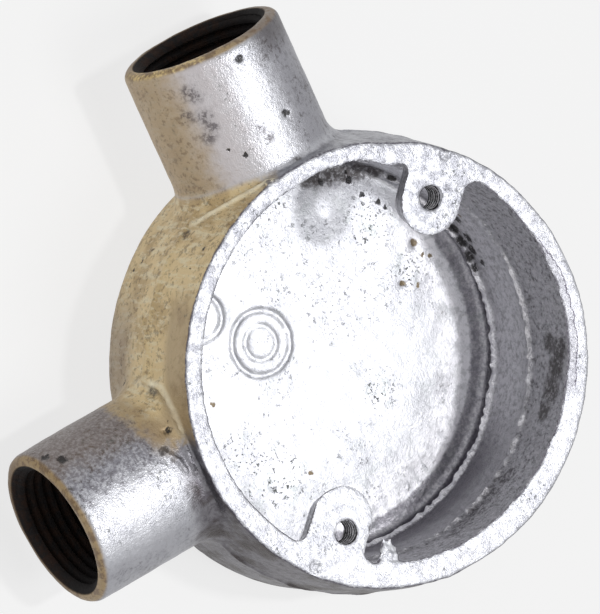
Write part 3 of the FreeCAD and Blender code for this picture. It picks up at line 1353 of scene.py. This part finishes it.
        # Painted shade with dirt: the rounded edges of the rim and tongues are darkened where they turn from the
        # light.
        edge = skin.z.step(25.7, 26.2) * skin.upright.step(0.92, 0.75) * skin.upright.step(0.2, 0.5)
        self.lay(edge * skin.fine.step(0.3, 0.55) * 0.8, colours.outline)
        middle = skin.x.step(4.6, -3.0) * 0.8 + 30.85
        inward = middle - skin.core_radius - (skin.mottle - 0.5) * 1.4
        along = skin.x.step(5.4, 4.6) * skin.x.step(-18.0, -17.0) * skin.y.step(-22.0, -24.0)
        self.lay(inward.step(-0.05, 0.3) * along * skin.top * 0.45, colours.slate_and_shade)
        self.lay(abs(inward).step(0.16, 0.05) * along * skin.top * 0.85, colours.outline)

    def bare_the_iron(self) -> tuple[Scalar, Scalar]:
        """Bares the iron in the bores and screw holes, and wears it at the mouths.

        Returns:
            Where the iron is bare, and where the mouths are.
        """
        recipe, skin, colours = self.recipe, self.skin, self.colours
        x_bore, y_bore = (
            radius.step(10.75, 10.45) * along.step(35.6, 36.1)
            for along, radius in ((skin.x, skin.x_spout_radius), (skin.y, skin.y_spout_radius))
        )
        x_mouth, y_mouth = (
            along.step(51.9, 52.6) * radius.step(12.2, 11.8)
            for along, radius in ((skin.x, skin.x_spout_radius), (skin.y, skin.y_spout_radius))
        )
        bores, mouths = x_bore.either(y_bore), x_mouth.either(y_mouth)
        out = record_mount("lid_screws")["dims"]["pcd_mm"] / 2
        flat = recipe.vector("MULTIPLY", skin.place, (1.0, 1.0, 0.2)).outputs[0]
        for turn in (SCREW_TURN, SCREW_TURN + math.pi):
            centre = (out * math.cos(turn), out * math.sin(turn), 5.0)
            away = Scalar(recipe, recipe.vector("DISTANCE", flat, centre).outputs["Value"])
            bores = bores.either(away.step(1.98, 1.86) * skin.upright.step(0.85, 0.6))

        worn = colours.edge_iron
        for mask, colour in (
            (skin.fine.step(0.44, 0.6) * skin.x_spout * skin.y.step(2.0, 7.0) * 0.8, colours.glint),
            (skin.x_spout * skin.y.step(2.0, -5.0) * 0.6, colours.slate_and_shade),
            (skin.mottle.step(0.46, 0.6).either(skin.z.step(14.0, 6.0)) * 0.85, colours.brown),
        ):
            worn = recipe.blend(mask, worn, colour)
        self.lay(mouths * (0.8 + skin.mottle * 0.2), worn)
        rusty = skin.z.step(10.0, 4.0) * skin.mottle.step(0.4, 0.6) * 0.35
        self.lay(bores, recipe.blend(rusty, colours.iron, colours.rusty_iron))
        return bores, mouths

    def material(self) -> bpy.types.Material:
        """Lays the coats in order and makes the material, on Object coordinates."""
        recipe, skin = self.recipe, self.skin
        self.grey_the_rim()
        self.shade_the_cavity()
        self.shade_the_outside()
        stain = self.stain()
        # Painted shadow below the ridge at the root of the spout along +Y.
        self.lay(recipe.painted("brown_side") * 0.75, self.colours.brown)
        # Painted highlight on the ridges at the spouts' roots.
        self.lay(recipe.painted("pale_ridge"), self.colours.ridge)
        cover, depth = self.mark()
        self.outline_the_rim()
        bores, mouths = self.bare_the_iron()

        coarse = 1 - skin.floor * 0.6 + skin.cavity_wall * 0.9
        relief = (skin.mottle * 0.08 + skin.fine * 0.075 + skin.grain * 0.045) * coarse - depth * 0.12
        bump = recipe.node("ShaderNodeBump", {}, {"Strength": 1.0, "Distance": MM, "Height": relief})
        hidden = (stain * 0.4).either(cover * 0.7).either(mouths * 0.4)
        shader = recipe.node(
            "ShaderNodeBsdfPrincipled",
            {},
            {
                "Base Color": self.base,
                "Metallic": self.metallic * (1 - hidden) * (1 - bores * 0.3),
                "Roughness": self.roughness + stain * 0.06 + bores * 0.5 + (skin.fine - 0.5) * 0.14,
                "Normal": bump.outputs["Normal"],
            },
        )
        return recipe.surface(shader.outputs["BSDF"])


@dataclass(frozen=True)
class PalePaper:
    """Pale floor, whiter to the camera and in reflections so that it reads as a white background.

    Attributes:
        colour: The paper.
        glow: Share of plain white where it is seen.
    """

    colour: Colour = display_colour(238, 238, 238)
    glow: float = 0.75

    def material(self) -> bpy.types.Material:
        """Makes the material.

        Returns:
            A material that keeps the object's shadow.
        """
        recipe = Recipe(bpy.data.materials.new("pale_paper"))
        paper = recipe.node("ShaderNodeBsdfDiffuse", {}, {"Color": self.colour})
        white = recipe.node("ShaderNodeEmission", {}, {"Color": (1.0, 1.0, 1.0, 1.0), "Strength": 1.0})
        mixed = recipe.node(
            "ShaderNodeMixShader",
            {},
            {0: seen_directly(recipe) * self.glow, 1: paper.outputs[0], 2: white.outputs[0]},
        )
        return recipe.surface(mixed.outputs[0])


def seen_directly(recipe: Recipe) -> Scalar:
    """1 where a camera, glossy or transmission ray looks, and 0 for light on the object."""
    rays = recipe.node("ShaderNodeLightPath")
    camera, glossy, through = (
        Scalar(recipe, rays.outputs[name]) for name in ("Is Camera Ray", "Is Glossy Ray", "Is Transmission Ray")
    )
    return camera.either(glossy).either(through)


# The studio


@dataclass(frozen=True)
class Lamp:
    """Far lamp of the studio.

    Attributes:
        name: Its name.
        towards: Direction from the object to the lamp.
        power: Its strength.
        spread: How wide it looks, in degrees.
    """

    name: str
    towards: tuple[float, float, float]
    power: float
    spread: float

    def hang(self) -> None:
        """Hangs the lamp."""
        light = bpy.data.lights.new(self.name, "SUN")
        light.energy = self.power
        light.angle = math.radians(self.spread)
        placed(self.name, light).rotation_euler = Vector(self.towards).to_track_quat("Z", "Y").to_euler()


@dataclass
class Studio:
    """Floor, light and camera of the photograph.

    Attributes:
        lamps: The lamps.
        surround: Light that comes from all round.
        floor_size: Half width of the pale floor, in metres.
        floor_gap: How far it lies below the back face, in metres.
        aim: Point that the camera looks at, in millimetres.
        azimuth: Where the camera stands round the object, in degrees; 0 looks along +Y.
        elevation: How far it stands above the horizon, in degrees.
        roll: How far it is turned about its line of sight, in degrees.
        distance: How far it stands away, in millimetres.
        lens: Focal length of its lens.
    """

    lamps: tuple[Lamp, ...] = (
        Lamp("key", (-0.031, -0.255, 0.967), 0.85, 4.0),
        Lamp("fill", (-0.372, -0.260, 0.891), 0.66, 24.0),
    )
    surround: float = 0.25
    floor_size: float = 4.0
    floor_gap: float = 0.0001
    aim: Vector = field(default_factory=lambda: Vector((10.447, 2.520, 12.0)))
    azimuth: float = 150.10
    elevation: float = 62.794
    roll: float = 92.806
    distance: float = 1787.69
    lens: float = 711.9

    def build(self) -> None:
        """Sets up the floor, the lights, the surroundings and the camera."""
        self.make_floor()
        for lamp in self.lamps:
            lamp.hang()
        self.make_surround()
        self.make_camera()
        bpy.context.scene.view_settings.view_transform = "Standard"

    def make_floor(self) -> None:
        """Lays the pale floor just under the back face."""
        form = bmesh.new()
        bmesh.ops.create_grid(form, x_segments=2, y_segments=2, size=self.floor_size)
        bmesh.ops.translate(form, vec=(0, 0, -self.floor_gap), verts=form.verts)
        floor = placed("floor", mesh_of(form, "floor"))
        floor.data.materials.append(PalePaper().material())

    def make_surround(self) -> None:
        """Puts soft light all round, with a white background where it is seen."""
        world = bpy.data.worlds.new("studio")
        bpy.context.scene.world = world
        recipe = Recipe(world)
        soft = recipe.node(
            "ShaderNodeBackground", {}, {"Color": (1.0, 1.0, 1.0, 1.0), "Strength": self.surround}
        )
        white = recipe.node("ShaderNodeBackground", {}, {"Color": (1.0, 1.0, 1.0, 1.0), "Strength": 1.0})
        mixed = recipe.node(
            "ShaderNodeMixShader", {}, {0: seen_directly(recipe), 1: soft.outputs[0], 2: white.outputs[0]}
        )
        recipe.surface(mixed.outputs[0])

    def make_camera(self) -> None:
        """Sets the camera where the photograph was taken from."""
        azimuth, elevation, roll = (math.radians(a) for a in (self.azimuth, self.elevation, self.roll))
        level = math.cos(elevation)
        back = Vector((math.sin(azimuth) * level, -math.cos(azimuth) * level, math.sin(elevation)))
        across = Vector((0, 0, 1)).cross(back).normalized()
        upright = back.cross(across)
        right = across * math.cos(roll) + upright * math.sin(roll)
        up = upright * math.cos(roll) - across * math.sin(roll)
        pose = Matrix((right, up, back)).transposed().to_4x4()
        pose.translation = (self.aim + back * self.distance) * MM
        lens = bpy.data.cameras.new("camera")
        lens.lens = self.lens
        camera = placed("camera", lens)
        camera.matrix_world = pose
        bpy.context.scene.camera = camera


def paint_ridges(piece: bpy.types.Object) -> None:
    """Paints highlights on the ridges, the shadow below one of them, and highlights on the core's beads, on a
    mesh's points.

    Args:
        piece: The finished object, in metres.
    """
    pale = piece.data.attributes.new("pale_ridge", "FLOAT", "POINT")
    brown = piece.data.attributes.new("brown_side", "FLOAT", "POINT")
    lines = piece.data.attributes.new("core_lines", "FLOAT", "POINT")
    for vert, light, dark, line in zip(piece.data.vertices, pale.data, brown.data, lines.data):
        at = vert.co / MM
        # Painted highlight along the ridges at the spouts' roots.
        light.value = min(1.0, 1.3 * max(X_SPOUT_RIDGE.near(at), Y_SPOUT_RIDGE.near(at)))
        # Painted shadow just below the ridge of the spout along +Y.
        dark.value = Y_SPOUT_RIDGE.near(at + Vector((0, 0, 1.3)))
        # Painted highlight on the core's beads and ridge, strongest on the bead.
        sunk = at + Vector((at.x, at.y, 0)).normalized() * 0.3
        line.value = max(1.8 * CORE_BEAD.near(sunk), 0.6 * CORE_RIDGE.near(sunk))


def main() -> None:
    """Builds the box and its studio, and reports each piece."""
    noise.seed_set(NOISE_SEED)
    logging.basicConfig(level=logging.INFO, format="%(name)s: %(message)s")
    Studio().build()

    casting = BoxCasting(swells=swells())
    casting.reliefs = cast_marks(casting)
    box = casting.build()
    paint_ridges(box)
    box.data.materials.append(GalvanisedZinc(ZincColours()).material())
    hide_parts(NODE)
    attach(box, BODY)
    log.info("%s: %d points, %d faces", box.name, len(box.data.vertices), len(box.data.polygons))


if __name__ == "__main__":
    main()
